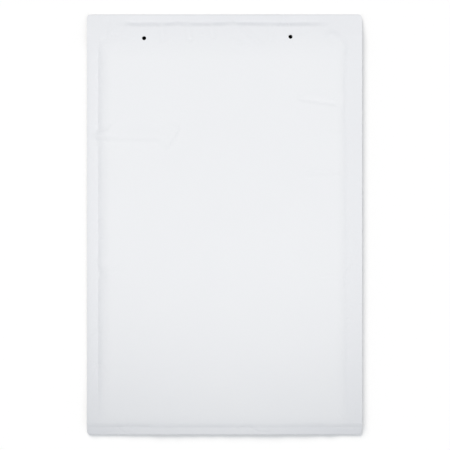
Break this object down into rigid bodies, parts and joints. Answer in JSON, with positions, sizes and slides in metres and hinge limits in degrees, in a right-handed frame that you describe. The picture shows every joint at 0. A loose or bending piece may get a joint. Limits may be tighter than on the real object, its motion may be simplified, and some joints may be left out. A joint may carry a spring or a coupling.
{
  "type": "padded envelope",
  "caption": "White padded paper envelope with a bubble film lining, sealed sides, a folded flap and small punched holes near the top, lying flat on its back.",
  "frame": {"origin": "on the table under the middle of the envelope", "axes": "+Z out of the address side, +Y from the bottom fold to the flap fold, +X to the right as the address side is read"},
  "size_m": [0.267, 0.408, 0.0074],
  "materials": {
    "white_paper": "matt, smooth white kraft",
    "bubble_film": "clear, glossy film",
    "hot_melt": "tacky, slightly yellow",
    "silicone_paper": "smooth, semi-gloss"
  },
  "bodies": {
    "root": {"outer_paper": "white_paper", "bubble_liner": "bubble_film", "adhesive_strip": "hot_melt", "release_strip": "silicone_paper"}
  },
  "joints": []
}
